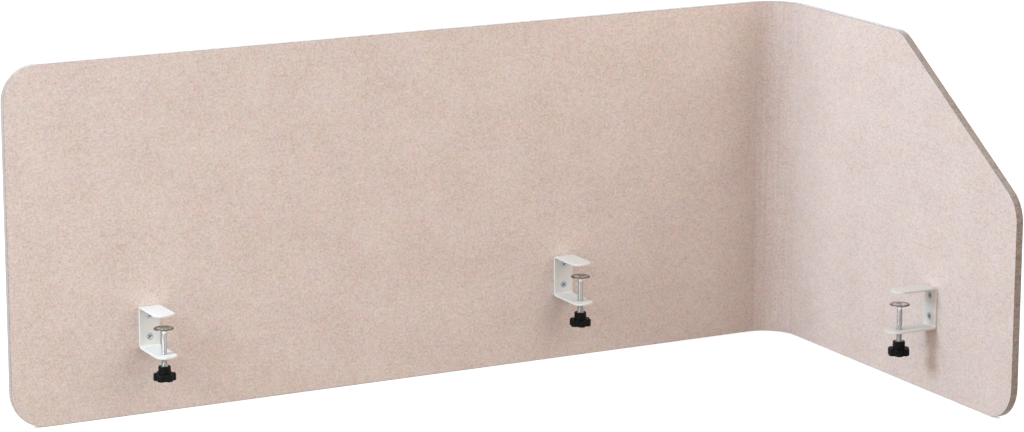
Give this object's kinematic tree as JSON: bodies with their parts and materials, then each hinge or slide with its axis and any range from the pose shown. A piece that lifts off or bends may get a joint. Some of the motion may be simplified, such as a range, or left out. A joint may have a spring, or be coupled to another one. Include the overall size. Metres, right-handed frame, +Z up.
{
  "type": "desk privacy panel",
  "caption": "L-shaped felt board privacy panel with a sloping front edge on its wing, held to the edge of a desk top by C-shaped screw clamps.",
  "frame": {"origin": "middle of the bounding box, on the panel's bottom edge", "axes": "+X along the long back panel towards the wing, +Y out through the back panel's outer face (the user sits on the -Y side), +Z up"},
  "size_m": [1.227, 0.61, 0.5],
  "materials": {
    "felt": "pressed polyester felt board, pale pink-beige melange",
    "powder_coat": "warm white powder coat, satin",
    "zinc_screw": "bright zinc plate",
    "insert_metal": "plain brass",
    "spindle_steel": "rolled thread, bright zinc plate",
    "pad_steel": "nickel-plated pressing",
    "knob_plastic": "black moulded plastic, fine grain",
    "bush_metal": "turned, bright zinc plate"
  },
  "bodies": {
    "root": {"felt_panel": "felt", "left_bracket": "powder_coat", "left_lower_screw": "zinc_screw", "left_upper_screw": "zinc_screw", "left_lower_insert": "insert_metal", "left_upper_insert": "insert_metal", "middle_bracket": "powder_coat", "middle_lower_screw": "zinc_screw", "middle_upper_screw": "zinc_screw", "middle_lower_insert": "insert_metal", "middle_upper_insert": "insert_metal", "side_bracket": "powder_coat", "side_lower_screw": "zinc_screw", "side_upper_screw": "zinc_screw", "side_lower_insert": "insert_metal", "side_upper_insert": "insert_metal"},
    "left_pad": {"left_pad": "pad_steel"},
    "left_spindle": {"left_spindle": "spindle_steel", "left_knob": "knob_plastic", "left_knob_bush": "bush_metal"},
    "middle_pad": {"middle_pad": "pad_steel"},
    "middle_spindle": {"middle_spindle": "spindle_steel", "middle_knob": "knob_plastic", "middle_knob_bush": "bush_metal"},
    "side_pad": {"side_pad": "pad_steel"},
    "side_spindle": {"side_spindle": "spindle_steel", "side_knob": "knob_plastic", "side_knob_bush": "bush_metal"}
  },
  "joints": [
    {"name": "left_clamp_travel", "type": "slide", "parent": "root", "child": "left_pad", "axis": [0, 0, 1], "range_m": [-0.032, 0.013]},
    {"name": "left_knob_turn", "type": "hinge", "parent": "left_pad", "child": "left_spindle", "pos_m": [-0.4125, 0.241, 0.1], "axis": [0, 0, 1], "range_deg": [-9216.5, 3744.5]},
    {"name": "middle_clamp_travel", "type": "slide", "parent": "root", "child": "middle_pad", "axis": [0, 0, 1], "range_m": [-0.032, 0.013]},
    {"name": "middle_knob_turn", "type": "hinge", "parent": "middle_pad", "child": "middle_spindle", "pos_m": [0.2345, 0.241, 0.1], "axis": [0, 0, 1], "range_deg": [-9216.5, 3744.5]},
    {"name": "side_clamp_travel", "type": "slide", "parent": "root", "child": "side_pad", "axis": [0, 0, 1], "range_m": [-0.032, 0.013]},
    {"name": "side_knob_turn", "type": "hinge", "parent": "side_pad", "child": "side_spindle", "pos_m": [0.5495, -0.11, 0.1], "axis": [0, 0, 1], "range_deg": [-9216.5, 3744.5]}
  ],
  "couplings": [
    {"joint": "left_knob_turn", "follows": "left_clamp_travel", "rad_per_m": 5026.5},
    {"joint": "middle_knob_turn", "follows": "middle_clamp_travel", "rad_per_m": 5026.5},
    {"joint": "side_knob_turn", "follows": "side_clamp_travel", "rad_per_m": 5026.5}
  ]
}
